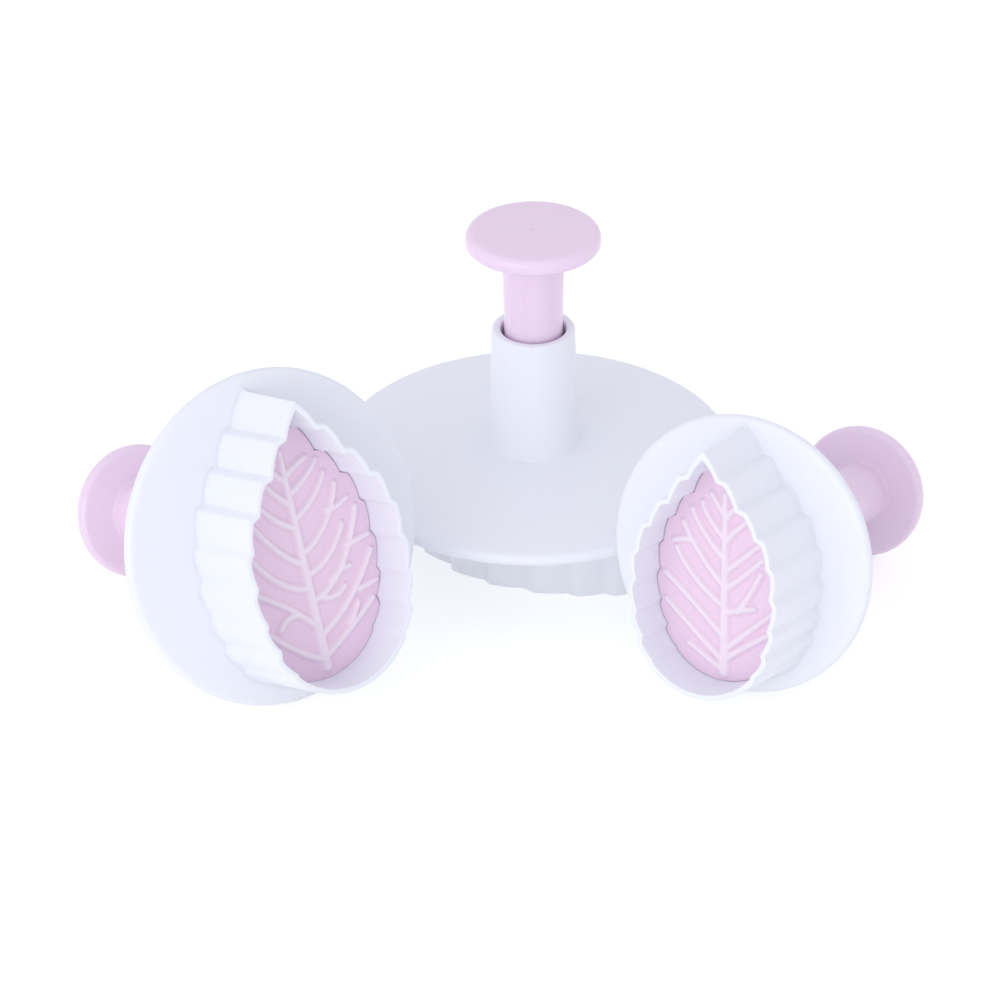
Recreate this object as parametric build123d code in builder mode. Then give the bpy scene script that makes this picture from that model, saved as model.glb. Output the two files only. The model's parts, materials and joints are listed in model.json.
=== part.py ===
from build123d import *

import os
from dataclasses import dataclass
from math import acos, atan2, ceil, cos, degrees, hypot, pi, radians, sin, sqrt

# A set of three graded leaf plunger cutters for rolled icing and pastry.
# The large cutter stands on its cutting edge, and the middle of that edge is the origin.
# The medium and the small cutter lie in front of it on their flange and knob rims.
# Sizes are in millimetres and +Z is up. On each cutter, heights run from the plane of the
# cutting edge towards the knob, and lengths of the leaf run from its base to its tip.

# Outline of each cutter; the leaf's middle is a little off the barrel, along and across
large_flange_diameter = 74.0
large_leaf_length = 63.8
large_leaf_width = 40.4
large_leaf_offset = (0, 0.4)
large_barrel_length = 23.8
medium_flange_diameter = 59.3
medium_leaf_length = 52.2
medium_leaf_width = 32.6
medium_leaf_offset = (0, 0.2)
medium_barrel_length = 25.1
small_flange_diameter = 49.9
small_leaf_length = 44.2
small_leaf_width = 28.6
small_leaf_offset = (0.3, 0.8)
small_barrel_length = 26.8

# Flange, a shallow dome with a full round rim
flange_height = 16.8
flange_thickness = 2.2
flange_rise = 2.2
flange_bulge = 0.3

# Barrel that guides the plunger
barrel_top_diameter = 15.2
barrel_foot_diameter = 16.7
barrel_bore_diameter = 11.9
barrel_lip_radius = 0.5
barrel_foot_fillet = 1.0

# Blade, a leaf-shaped wall with its cutting edge at height zero
blade_edge_thickness = 0.9
blade_draft = 0.4
blade_root_overlap = 0.8

# Plunger: a round knob on a tapered stem
knob_diameter = 24.5
knob_thickness = 2.9
knob_edge_radius = 0.9
knob_crown = 0.4
gate_mark_diameter = 1.3
gate_mark_depth = 0.2
stem_top_diameter = 11.3
stem_foot_diameter = 10.3
stem_fillet = 0.8
stem_showing = 16.9

# Veined pad, a shell that slides inside the blade and hangs from the stem by its peg
pad_setback = 8.9
pad_clearance = 0.3
pad_plate = 1.6
pad_wall = 1.2
pad_depth = 5.4
pad_rib_thickness = 1.2
pad_rib_depth = 3.0
pad_boss_diameter = 10.0
pad_stop_gap = 0.3
peg_diameter = 5.6
peg_length_in_stem = 9.0
peg_tip_chamfer = 0.6
peg_guide_clearance = 0.1
peg_socket_clearance = 0.02
socket_spare_depth = 0.5

# Raised veins on the face of the pad
vein_height = 0.7
midrib_width = 1.7
side_vein_width = 1.35
vein_tip_width = 0.6
vein_top_share = 0.42

# Return spring round the peg, between the floor of the barrel and the stem
spring_space = 13.2
spring_wire_diameter = 0.7
spring_mean_diameter = 8.4
spring_end_pitch = 1.2
spring_seat_gap = 0.05
spring_end_turns = 1
spring_active_turns = 4

# Where the lying cutters are: the middle of the flange from above, the compass direction
# in which the blade looks, and the turn of the leaf about the cutter's own axis
medium_place = (-45.9, -44.9)
medium_heading = 308.4
medium_leaf_turn = -1.5
small_place = (35.8, -45.9)
small_heading = 238.0
small_leaf_turn = 8.9
large_leaf_heading = 164.6

# Leaf outline, from the tip to the base: each tooth is a notch and a point, given as shares
# of half the leaf's length along it and of half its width across it
tooth_shares = (
    ((0.793, 0.219), (0.778, 0.324)),
    ((0.579, 0.481), (0.561, 0.591)),
    ((0.373, 0.732), (0.350, 0.830)),
    ((0.143, 0.907), (0.105, 0.970)),
    ((-0.100, 0.953), (-0.165, 1.005)),
    ((-0.356, 0.938), (-0.407, 0.968)),
    ((-0.561, 0.857), (-0.622, 0.878)),
    ((-0.757, 0.722), (-0.793, 0.714)),
)
tooth_bulge_share = 0.05

# Veins as shares of the same half sizes: where a side vein leaves the midrib, a point that
# it passes, and its end; then the forks, each with its start, middle and end
right_vein_shares = (
    (-0.82, (-0.68, 0.42), (-0.55, 0.74)),
    (-0.67, (-0.50, 0.45), (-0.23, 0.84)),
    (-0.42, (-0.28, 0.42), (0.09, 0.77)),
    (-0.24, (-0.17, 0.30), (0.01, 0.56)),
    (-0.09, (0.04, 0.34), (0.29, 0.58)),
    (0.15, (0.25, 0.28), (0.39, 0.47)),
    (0.32, (0.40, 0.24), (0.49, 0.41)),
    (0.45, (0.50, 0.16), (0.53, 0.29)),
)
left_vein_shares = (
    (-0.83, (-0.68, 0.36), (-0.40, 0.79)),
    (-0.60, (-0.38, 0.42), (-0.16, 0.85)),
    (-0.33, (-0.20, 0.38), (0.10, 0.71)),
    (-0.16, (0.02, 0.32), (0.33, 0.62)),
    (0.09, (0.23, 0.28), (0.43, 0.48)),
    (0.25, (0.38, 0.19), (0.53, 0.34)),
    (0.42, (0.50, 0.13), (0.58, 0.22)),
)
right_fork_shares = (((0.11, 0.44), (0.13, 0.58), (0.17, 0.72)),)
left_fork_shares = (((-0.50, 0.30), (-0.49, 0.42), (-0.43, 0.56)),)
midrib_base_share = -0.88
midrib_tip_share = 0.62

# Heights that follow from the sizes
crown_top = flange_height + flange_thickness / 2 + flange_rise
crown_bottom = crown_top - flange_thickness
blade_top = flange_height + flange_thickness / 2 - blade_root_overlap / 2
stem_bottom = crown_top + spring_space
pad_inset = blade_edge_thickness + pad_clearance


@dataclass
class Cutter:
    """One cutter of the set: its name, its own sizes and the plane of its cutting edge."""

    name: str
    flange_diameter: float
    leaf_length: float
    leaf_width: float
    leaf_offset: tuple
    barrel_length: float
    seat: Plane

    def barrel_top(self):
        """Height of the barrel's open end."""
        return crown_top + self.barrel_length

    def knob_bottom(self):
        """Height of the knob's underside."""
        return self.barrel_top() + stem_showing

    def leaf_plane(self, height):
        """The plane at a height in which the leaf is drawn, with its midrib along X."""
        along, across = self.leaf_offset
        aside = self.seat.x_dir * along + self.seat.y_dir * across
        return self.seat.offset(height).move(Location(aside))

    def profile_plane(self):
        """The plane through the cutter's axis in which turned profiles are drawn."""
        return Plane(self.seat.origin, x_dir=self.seat.x_dir, z_dir=-self.seat.y_dir)

    def axis(self):
        """The cutter's own axis, from the cutting edge to the knob."""
        return Axis(self.seat.origin, self.seat.z_dir)


def standing_seat(leaf_heading):
    """The cutting edge's plane on the table, with the leaf's tip towards the heading."""
    turn = radians(leaf_heading)
    return Plane((0, 0, 0), x_dir=(cos(turn), sin(turn), 0), z_dir=(0, 0, 1))


def lying_seat(flange_diameter, barrel_length, place, heading, leaf_turn):
    """The cutting edge's plane of a cutter that lies on its flange rim and its knob rim."""
    knob_top = crown_top + barrel_length + stem_showing + knob_thickness
    flange_edge = flange_thickness / 2
    drop = flange_diameter / 2 - flange_edge - knob_diameter / 2 + knob_edge_radius
    reach = knob_top - knob_edge_radius - flange_height
    lean = acos((knob_edge_radius - flange_edge) / hypot(drop, reach)) - atan2(reach, drop)
    compass = radians(heading)
    forward = Vector(cos(lean) * cos(compass), cos(lean) * sin(compass), sin(lean))
    height = (flange_diameter / 2 - flange_edge) * cos(lean) + flange_edge
    upward = (Vector(0, 0, 1) - forward * forward.Z).normalized()
    across = upward.cross(forward)
    turn = radians(leaf_turn)
    middle = Vector(place[0], place[1], height) + forward * flange_height
    return Plane(middle, x_dir=upward * cos(turn) - across * sin(turn), z_dir=-forward)


def leaf_corners(cutter, inset):
    """The corners of one half of the leaf outline, tip to base, moved inwards by the inset."""
    along, across = cutter.leaf_length / 2, cutter.leaf_width / 2
    points = [Vector(along, 0)]
    points += [Vector(x * along, y * across) for tooth in tooth_shares for x, y in tooth]
    before = Vector(points[1].X, -points[1].Y)
    ring = [before, *points, Vector(-along, 0)]
    moved = []
    for last, here, following in zip(ring, ring[1:], ring[2:]):
        arriving = (here - last).normalized()
        leaving = (following - here).normalized()
        first_normal = Vector(-arriving.Y, arriving.X)
        second_normal = Vector(-leaving.Y, leaving.X)
        miter = (first_normal + second_normal) / (1 + first_normal.dot(second_normal))
        moved.append(here + miter * inset)
    return moved


def leaf_outline(cutter, inset):
    """The leaf's closed line: long bulged sides, short steps at the notches, a round base."""
    corners = leaf_corners(cutter, inset)
    with BuildLine() as outline:
        for start, end in zip(corners[0::2], corners[1::2]):
            chord = end - start
            bulge = Vector(chord.Y, -chord.X) * tooth_bulge_share
            ThreePointArc(start, (start + end) / 2 + bulge, end)
        for start, end in zip(corners[1::2], corners[2::2]):
            Line(start, end)
        base = Vector(-cutter.leaf_length / 2 + inset, 0)
        TangentArc(base, corners[-1], tangent=(0, 1))
        mirror(about=Plane.XZ)
    return outline.edges()


def make_body(cutter):
    """The white moulding: leaf-shaped blade, domed flange and the barrel on top."""
    rim = flange_thickness / 2
    rim_centre = cutter.flange_diameter / 2 - rim
    bore = barrel_bore_diameter / 2
    hole = peg_diameter / 2 + peg_guide_clearance
    foot = barrel_foot_diameter / 2
    halfway = (foot + rim_centre) / 2
    rim_top = flange_height + rim
    rim_bottom = flange_height - rim
    with BuildPart() as body:
        with BuildSketch(cutter.leaf_plane(0)):
            make_face(leaf_outline(cutter, 0))
        with BuildSketch(cutter.leaf_plane(blade_top)):
            make_face(leaf_outline(cutter, -blade_draft))
        loft(ruled=True)
        with BuildSketch(cutter.leaf_plane(0)):
            make_face(leaf_outline(cutter, blade_edge_thickness))
        extrude(amount=blade_top, mode=Mode.SUBTRACT)
        with BuildSketch(cutter.profile_plane()):
            with BuildLine():
                Polyline(
                    (foot, crown_bottom),
                    (hole, crown_bottom),
                    (hole, crown_top),
                    (bore, crown_top),
                    (bore, cutter.barrel_top()),
                    (barrel_top_diameter / 2, cutter.barrel_top()),
                    (foot, crown_top),
                )
                ThreePointArc(
                    (foot, crown_top),
                    (halfway, (crown_top + rim_top) / 2 + flange_bulge),
                    (rim_centre, rim_top),
                )
                ThreePointArc(
                    (rim_centre, rim_top),
                    (rim_centre + rim, flange_height),
                    (rim_centre, rim_bottom),
                )
                ThreePointArc(
                    (rim_centre, rim_bottom),
                    (halfway, (crown_bottom + rim_bottom) / 2 + flange_bulge),
                    (foot, crown_bottom),
                )
            make_face()
            fillet(vertices().group_by(Axis.Y)[-1], radius=barrel_lip_radius)
            foot_corner = vertices().sort_by_distance((foot, crown_top))[0]
            fillet(foot_corner, radius=barrel_foot_fillet)
        revolve(axis=cutter.axis())
    return body


def make_plunger(cutter):
    """The pink moulding that is pressed: a round knob on its stem, with a socket below."""
    knob = knob_diameter / 2
    knob_bottom = cutter.knob_bottom()
    knob_top = knob_bottom + knob_thickness
    crown = knob_top + knob_crown
    gate = gate_mark_diameter / 2
    socket = peg_diameter / 2 + peg_socket_clearance
    socket_top = stem_bottom + peg_length_in_stem + socket_spare_depth
    with BuildPart() as plunger:
        with BuildSketch(cutter.profile_plane()):
            with BuildLine():
                Polyline(
                    (knob, knob_top),
                    (knob, knob_bottom),
                    (stem_top_diameter / 2, knob_bottom),
                    (stem_foot_diameter / 2, stem_bottom),
                    (socket, stem_bottom),
                    (socket, socket_top),
                    (0, socket_top),
                    (0, crown - gate_mark_depth),
                    (gate, crown - gate_mark_depth),
                    (gate, crown),
                )
                TangentArc((gate, crown), (knob, knob_top), tangent=(1, 0))
            make_face()
            rim_corners = vertices().group_by(Axis.X)[-1]
            fillet(rim_corners, radius=knob_edge_radius)
            neck = vertices().sort_by_distance((stem_top_diameter / 2, knob_bottom))[0]
            fillet(neck, radius=stem_fillet)
        revolve(axis=cutter.axis())
    return plunger


def vein_outline(cutter, points, share):
    """The closed line of a tapered side vein through three points, at a share of its width."""
    along, across = cutter.leaf_length / 2, cutter.leaf_width / 2
    start, middle, end = [Vector(x * along, y * across) for x, y in points]
    widths = (side_vein_width, (side_vein_width + vein_tip_width) / 2, vein_tip_width)
    headings = (middle - start, end - start, end - middle)
    sides = []
    for point, width, heading in zip((start, middle, end), widths, headings):
        outward = Vector(-heading.Y, heading.X).normalized() * (width * share / 2)
        sides.append((point + outward, point - outward))
    nose = end + headings[2].normalized() * (vein_tip_width * share / 2)
    with BuildLine() as outline:
        ThreePointArc(sides[0][0], sides[1][0], sides[2][0])
        ThreePointArc(sides[2][0], nose, sides[2][1])
        ThreePointArc(sides[2][1], sides[1][1], sides[0][1])
        Line(sides[0][1], sides[0][0])
    return outline.edges()


def midrib_outline(cutter, share):
    """The closed line of the midrib, which narrows from the leaf's base to its tip."""
    along = cutter.leaf_length / 2
    base, tip = midrib_base_share * along, midrib_tip_share * along
    wide, narrow = midrib_width * share / 2, vein_tip_width * share / 2
    with BuildLine() as outline:
        Line((base, wide), (tip, narrow))
        ThreePointArc((tip, narrow), (tip + narrow, 0), (tip, -narrow))
        Line((tip, -narrow), (base, -wide))
        ThreePointArc((base, -wide), (base - wide, 0), (base, wide))
    return outline.edges()


def vein_paths():
    """Each side vein and fork of the pad as three points, in shares of the leaf's half sizes."""
    for side, table, forks in (
        (1, right_vein_shares, right_fork_shares),
        (-1, left_vein_shares, left_fork_shares),
    ):
        for root, middle, end in table:
            yield (root, 0), (middle[0], side * middle[1]), (end[0], side * end[1])
        for fork in forks:
            yield tuple((x, side * y) for x, y in fork)


def make_pad(cutter):
    """The pink leaf that presses the veins and pushes the paste out, with its peg."""
    face = cutter.leaf_plane(pad_setback)
    plate_back = cutter.leaf_plane(pad_setback + pad_plate)
    boss_base = cutter.seat.offset(pad_setback + pad_plate)
    boss_height = crown_bottom - pad_stop_gap - pad_setback - pad_plate
    peg_height = stem_bottom + peg_length_in_stem - pad_setback - pad_plate
    crest = cutter.leaf_plane(pad_setback - vein_height)
    with BuildPart() as pad:
        with BuildSketch(face):
            make_face(leaf_outline(cutter, pad_inset))
        extrude(amount=pad_depth)
        with BuildSketch(plate_back):
            make_face(leaf_outline(cutter, pad_inset + pad_wall))
        extrude(amount=pad_depth - pad_plate, mode=Mode.SUBTRACT)
        with BuildSketch(plate_back):
            Rectangle(cutter.leaf_length, pad_rib_thickness)
            Rectangle(pad_rib_thickness, cutter.leaf_width)
            make_face(leaf_outline(cutter, pad_inset + pad_wall / 2), mode=Mode.INTERSECT)
        extrude(amount=pad_rib_depth)
        with BuildSketch(boss_base):
            Circle(pad_boss_diameter / 2)
        extrude(amount=boss_height)
        with BuildSketch(boss_base):
            Circle(peg_diameter / 2)
        extrude(amount=peg_height)
        chamfer(edges().sort_by(cutter.axis())[-1], length=peg_tip_chamfer)
        with BuildSketch(face):
            make_face(midrib_outline(cutter, 1))
        with BuildSketch(crest):
            make_face(midrib_outline(cutter, vein_top_share))
        loft(ruled=True)
        for path in vein_paths():
            with BuildSketch(face):
                make_face(vein_outline(cutter, path, 1))
            with BuildSketch(crest):
                make_face(vein_outline(cutter, path, vein_top_share))
            loft(ruled=True)
    return pad


def spring_stations():
    """Quarter turns of the coil as angle, height and climb per radian, in the cutter's frame."""
    low = crown_top + spring_seat_gap + spring_wire_diameter / 2
    high = stem_bottom - spring_seat_gap - spring_wire_diameter / 2
    end_climb = spring_end_pitch * spring_end_turns
    active_pitch = (high - low - 2 * end_climb) / spring_active_turns
    turns = 2 * spring_end_turns + spring_active_turns
    stations = []
    height = low
    for quarter in range(4 * turns + 1):
        at_end = quarter < 4 * spring_end_turns or quarter >= 4 * (turns - spring_end_turns)
        pitch = spring_end_pitch if at_end else active_pitch
        previous = stations[-1][2] * 2 * pi if stations else pitch
        stations.append((quarter * pi / 2, height, (pitch + previous) / (4 * pi)))
        height += pitch / 4
    return stations


def make_spring(cutter):
    """The steel return spring, one wire wound on paired arcs of an eighth of a turn."""
    radius = spring_mean_diameter / 2
    knots = []
    for angle, height, climb in spring_stations():
        point = Vector(radius * cos(angle), radius * sin(angle), height)
        ahead = point + Vector(-radius * sin(angle), radius * cos(angle), climb)
        placed = cutter.seat.from_local_coords(point)
        knots.append((placed, (cutter.seat.from_local_coords(ahead) - placed).normalized()))
    with BuildPart() as spring:
        with BuildLine():
            for (start, leaving), (end, arriving) in zip(knots, knots[1:]):
                chord = end - start
                closing = 2 * (leaving.dot(arriving) - 1)
                slope = -2 * chord.dot(leaving + arriving)
                reach = (-slope - sqrt(slope**2 - 4 * closing * chord.dot(chord))) / (2 * closing)
                joint = (start + end + (leaving - arriving) * reach) / 2
                first = TangentArc(start, joint, tangent=leaving)
                TangentArc(joint, end, tangent=first % 1)
        with BuildSketch(Plane(knots[0][0], z_dir=knots[0][1])):
            Circle(spring_wire_diameter / 2)
        sweep()
    return spring


def spring_gap():
    """The least space between two neighbouring turns of a return spring."""
    heights = [height for _, height, _ in spring_stations()]
    return min(b - a for a, b in zip(heights, heights[4:])) - spring_wire_diameter


cutters = (
    Cutter(
        "large",
        large_flange_diameter,
        large_leaf_length,
        large_leaf_width,
        large_leaf_offset,
        large_barrel_length,
        standing_seat(large_leaf_heading),
    ),
    Cutter(
        "medium",
        medium_flange_diameter,
        medium_leaf_length,
        medium_leaf_width,
        medium_leaf_offset,
        medium_barrel_length,
        lying_seat(
            medium_flange_diameter,
            medium_barrel_length,
            medium_place,
            medium_heading,
            medium_leaf_turn,
        ),
    ),
    Cutter(
        "small",
        small_flange_diameter,
        small_leaf_length,
        small_leaf_width,
        small_leaf_offset,
        small_barrel_length,
        lying_seat(
            small_flange_diameter,
            small_barrel_length,
            small_place,
            small_heading,
            small_leaf_turn,
        ),
    ),
)

makers = {
    "cutter_body": make_body,
    "plunger": make_plunger,
    "leaf_pad": make_pad,
    "return_spring": make_spring,
}

os.makedirs("parts", exist_ok=True)
for cutter in cutters:
    for piece, maker in makers.items():
        built = maker(cutter)
        built.part.label = f"{cutter.name}_{piece}"
        export_step(built.part, f"parts/{cutter.name}_{piece}.step")
print("least gap between spring turns", round(spring_gap(), 3), "mm")
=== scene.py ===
"""The look of a set of three graded leaf plunger cutters, on a pale table in soft light.

Each cutter is a toothed leaf blade under a domed flange with a barrel, a knob on a stem,
and a veined pad that slides in the blade. Lengths are in millimetres until a mesh is put
in its place, where they become metres.
"""

import json
import logging
from dataclasses import dataclass, field
from enum import Enum
from math import acos, atan2, cos, hypot, pi, radians, sin
from typing import Callable

import bmesh
import bpy
import numpy as np
from mathutils import Matrix, Vector

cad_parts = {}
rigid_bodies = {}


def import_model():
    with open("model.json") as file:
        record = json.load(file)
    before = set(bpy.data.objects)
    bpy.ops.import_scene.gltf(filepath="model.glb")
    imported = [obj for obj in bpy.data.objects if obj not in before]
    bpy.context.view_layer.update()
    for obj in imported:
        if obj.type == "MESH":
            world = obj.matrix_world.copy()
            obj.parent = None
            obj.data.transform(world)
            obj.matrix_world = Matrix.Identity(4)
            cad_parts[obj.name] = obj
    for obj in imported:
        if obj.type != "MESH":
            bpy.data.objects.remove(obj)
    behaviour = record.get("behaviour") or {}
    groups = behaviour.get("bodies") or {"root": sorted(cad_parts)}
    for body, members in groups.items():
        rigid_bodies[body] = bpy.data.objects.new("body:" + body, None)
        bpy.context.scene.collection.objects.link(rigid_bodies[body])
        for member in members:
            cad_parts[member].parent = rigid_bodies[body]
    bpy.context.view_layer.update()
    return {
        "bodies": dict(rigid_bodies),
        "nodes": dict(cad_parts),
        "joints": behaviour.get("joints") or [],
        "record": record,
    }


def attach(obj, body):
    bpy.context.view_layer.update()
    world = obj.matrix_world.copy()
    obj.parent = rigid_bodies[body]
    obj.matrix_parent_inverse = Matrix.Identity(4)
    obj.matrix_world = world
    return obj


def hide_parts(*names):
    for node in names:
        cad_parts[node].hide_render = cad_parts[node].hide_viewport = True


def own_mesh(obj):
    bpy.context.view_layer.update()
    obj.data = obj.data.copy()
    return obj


log = logging.getLogger("cutters")

METRES = 0.001
# Doubles that lie nearer than this merge, in millimetres.
SPIN_WELD = 0.0005
WALL_WELD = 0.0001
WIRE_WELD = 0.001
FULL_TURN = 2 * pi
SPIN_STEPS = 144
# Edges that turn by more than this stay sharp, in degrees.
MOULDING_CREASE = 32
PAD_CREASE = 50
# Name of the attribute with each pad point's share of its vein's height; the pad material
# paints a highlight on the crests with it.
VEIN_MARK = "vein"
ROOT_BODY = "cutter_bodies"
Colour = tuple[float, float, float]


class Slot(Enum):
    """The material slots that the pieces take their finish from."""

    WHITE = "white_plastic"
    PINK = "pink_plastic"
    STEEL = "spring_steel"


def mottle_group(
    cloud_detail: float = 3.0,
    grain_detail: float = 2.0,
    grain_range: tuple[float, float] = (0.3, 0.7),
) -> bpy.types.ShaderNodeTree:
    """The faint clouding and grain of a moulded surface, shared by all finishes.

    Args:
        cloud_detail: How finely the clouds of colour are broken up.
        grain_detail: How finely the grain is broken up.
        grain_range: The grain's values that give the smoothest and the roughest spots.

    Returns:
        A node group that gives a colour, a roughness and a height from its inputs.
    """
    group = bpy.data.node_groups.new("moulded_surface", "ShaderNodeTree")
    face = group.interface
    face.new_socket("Light", in_out="INPUT", socket_type="NodeSocketColor")
    face.new_socket("Deep", in_out="INPUT", socket_type="NodeSocketColor")
    for name in ("Cloud Scale", "Grain Scale", "Smooth", "Rough"):
        face.new_socket(name, in_out="INPUT", socket_type="NodeSocketFloat")
    face.new_socket("Color", in_out="OUTPUT", socket_type="NodeSocketColor")
    face.new_socket("Roughness", in_out="OUTPUT", socket_type="NodeSocketFloat")
    face.new_socket("Height", in_out="OUTPUT", socket_type="NodeSocketFloat")
    nodes, links = group.nodes, group.links
    start, end = nodes.new("NodeGroupInput"), nodes.new("NodeGroupOutput")
    place = nodes.new("ShaderNodeTexCoord")
    cloud, grain = nodes.new("ShaderNodeTexNoise"), nodes.new("ShaderNodeTexNoise")
    cloud.inputs["Detail"].default_value = cloud_detail
    grain.inputs["Detail"].default_value = grain_detail
    links.new(place.outputs["Object"], cloud.inputs["Vector"])
    links.new(place.outputs["Object"], grain.inputs["Vector"])
    links.new(start.outputs["Cloud Scale"], cloud.inputs["Scale"])
    links.new(start.outputs["Grain Scale"], grain.inputs["Scale"])
    tone = nodes.new("ShaderNodeMix")
    tone.data_type = "RGBA"
    links.new(cloud.outputs["Fac"], tone.inputs["Factor"])
    links.new(start.outputs["Light"], tone.inputs["A"])
    links.new(start.outputs["Deep"], tone.inputs["B"])
    gloss = nodes.new("ShaderNodeMapRange")
    gloss.inputs["From Min"].default_value = grain_range[0]
    gloss.inputs["From Max"].default_value = grain_range[1]
    links.new(grain.outputs["Fac"], gloss.inputs["Value"])
    links.new(start.outputs["Smooth"], gloss.inputs["To Min"])
    links.new(start.outputs["Rough"], gloss.inputs["To Max"])
    links.new(tone.outputs["Result"], end.inputs["Color"])
    links.new(gloss.outputs["Result"], end.inputs["Roughness"])
    links.new(grain.outputs["Fac"], end.inputs["Height"])
    return group


@dataclass(frozen=True)
class Finish:
    """A finish with two close shades and a roughness that wanders with the grain."""

    name: str
    light: Colour
    deep: Colour
    smooth: float = 0.3
    rough: float = 0.42
    cloud_scale: float = 70.0
    grain_scale: float = 2600.0

    def build(self, surface: bpy.types.ShaderNodeTree) -> bpy.types.Material:
        """Makes the material.

        Args:
            surface: The shared moulded surface group.

        Returns:
            The material.
        """
        material = bpy.data.materials.new(self.name)
        material.use_nodes = True
        nodes, links = material.node_tree.nodes, material.node_tree.links
        shader = nodes["Principled BSDF"]
        skin = nodes.new("ShaderNodeGroup")
        skin.name = "skin"
        skin.node_tree = surface
        skin.inputs["Light"].default_value = (*self.light, 1)
        skin.inputs["Deep"].default_value = (*self.deep, 1)
        skin.inputs["Cloud Scale"].default_value = self.cloud_scale
        skin.inputs["Grain Scale"].default_value = self.grain_scale
        skin.inputs["Smooth"].default_value = self.smooth
        skin.inputs["Rough"].default_value = self.rough
        links.new(skin.outputs["Color"], shader.inputs["Base Color"])
        links.new(skin.outputs["Roughness"], shader.inputs["Roughness"])
        return material


@dataclass(frozen=True)
class MouldedPlastic(Finish):
    """A satin moulded plastic that lets a little light into its surface."""

    grain_depth: float = 0.00001
    grain_strength: float = 0.35
    refraction: float = 1.49
    glow: float = 0.12
    glow_reach: tuple[float, float, float] = (0.0016, 0.0013, 0.0014)

    def build(self, surface: bpy.types.ShaderNodeTree) -> bpy.types.Material:
        """Makes the material.

        Args:
            surface: The shared moulded surface group.

        Returns:
            The material.
        """
        material = super().build(surface)
        nodes, links = material.node_tree.nodes, material.node_tree.links
        shader, bump = nodes["Principled BSDF"], nodes.new("ShaderNodeBump")
        bump.inputs["Strength"].default_value = self.grain_strength
        bump.inputs["Distance"].default_value = self.grain_depth
        links.new(nodes["skin"].outputs["Height"], bump.inputs["Height"])
        links.new(bump.outputs["Normal"], shader.inputs["Normal"])
        shader.inputs["IOR"].default_value = self.refraction
        shader.inputs["Subsurface Weight"].default_value = self.glow
        shader.inputs["Subsurface Radius"].default_value = self.glow_reach
        shader.inputs["Subsurface Scale"].default_value = 1.0
        return material


@dataclass(frozen=True)
class VeinHighlightPlastic(MouldedPlastic):
    """The moulded plastic of a pad, with a painted highlight on the crests of its veins: a
    paler colour where the raised ridges catch the light.
    """

    # Painted highlight: the paler colour put on the vein crests for the light that the raised
    # ridges catch.
    crest_highlight: Colour = (0.9, 0.9, 0.9)

    def build(self, surface: bpy.types.ShaderNodeTree) -> bpy.types.Material:
        """Makes the material.

        Args:
            surface: The shared moulded surface group.

        Returns:
            The material.
        """
        material = super().build(surface)
        nodes, links = material.node_tree.nodes, material.node_tree.links
        shader = nodes["Principled BSDF"]
        ground = shader.inputs["Base Color"].links[0].from_socket
        # Paints the crest highlight: each point's share of its vein's height mixes the pad's
        # colour towards the paler crest colour.
        vein, crest_highlight_mix = nodes.new("ShaderNodeAttribute"), nodes.new("ShaderNodeMix")
        vein.attribute_name = VEIN_MARK
        crest_highlight_mix.data_type = "RGBA"
        crest_highlight_mix.inputs["B"].default_value = (*self.crest_highlight, 1)
        links.new(vein.outputs["Fac"], crest_highlight_mix.inputs["Factor"])
        links.new(ground, crest_highlight_mix.inputs["A"])
        links.new(crest_highlight_mix.outputs["Result"], shader.inputs["Base Color"])
        return material


@dataclass(frozen=True)
class DrawnSteel(Finish):
    """Bright drawn wire, mottled at the wire's own small scale."""

    light: Colour = (0.72, 0.72, 0.73)
    deep: Colour = (0.55, 0.55, 0.57)
    smooth: float = 0.2
    rough: float = 0.38
    cloud_scale: float = 900.0
    grain_scale: float = 6000.0

    def build(self, surface: bpy.types.ShaderNodeTree) -> bpy.types.Material:
        """Makes the material.

        Args:
            surface: The shared moulded surface group.

        Returns:
            The material.
        """
        material = super().build(surface)
        shader = material.node_tree.nodes["Principled BSDF"]
        shader.inputs["Metallic"].default_value = 1.0
        return material


def wire_loop(mesh: bmesh.types.BMesh, points: list[Vector], closed: bool) -> list:
    """Draws a line of edges.

    Args:
        mesh: The mesh that the line is drawn in.
        points: The line's points in order.
        closed: Whether the last point is joined to the first.

    Returns:
        The line's vertices in order.
    """
    verts = [mesh.verts.new(p) for p in points]
    pairs = list(zip(verts, verts[1:]))
    if closed:
        pairs.append((verts[-1], verts[0]))
    for pair in pairs:
        mesh.edges.new(pair)
    return verts


def round_off(
    mesh: bmesh.types.BMesh, parts: list, radius: float, segments: int, kind: str = "VERTICES"
) -> None:
    """Rounds corners of a line or edges of a wall.

    Args:
        mesh: The mesh that holds them.
        parts: The vertices or edges to round.
        radius: How far from each the rounding starts.
        segments: The number of edges in each rounding.
        kind: What is rounded, VERTICES or EDGES.
    """
    bmesh.ops.bevel(
        mesh,
        geom=parts,
        offset=radius,
        offset_type="OFFSET",
        segments=segments,
        profile=0.5,
        affect=kind,
        material=-1,
    )


def weld(mesh: bmesh.types.BMesh, reach: float) -> None:
    """Merges the doubles of a closed shape and turns its faces outwards."""
    bmesh.ops.remove_doubles(mesh, verts=mesh.verts[:], dist=reach)
    bmesh.ops.recalc_face_normals(mesh, faces=mesh.faces[:])


def join(whole: bmesh.types.BMesh, part: bmesh.types.BMesh) -> None:
    """Adds one mesh to another.

    Args:
        whole: The mesh that grows.
        part: The mesh that is added, which is freed.
    """
    spare = bpy.data.meshes.new("part")
    part.to_mesh(spare)
    part.free()
    whole.from_mesh(spare)
    bpy.data.meshes.remove(spare)


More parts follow.
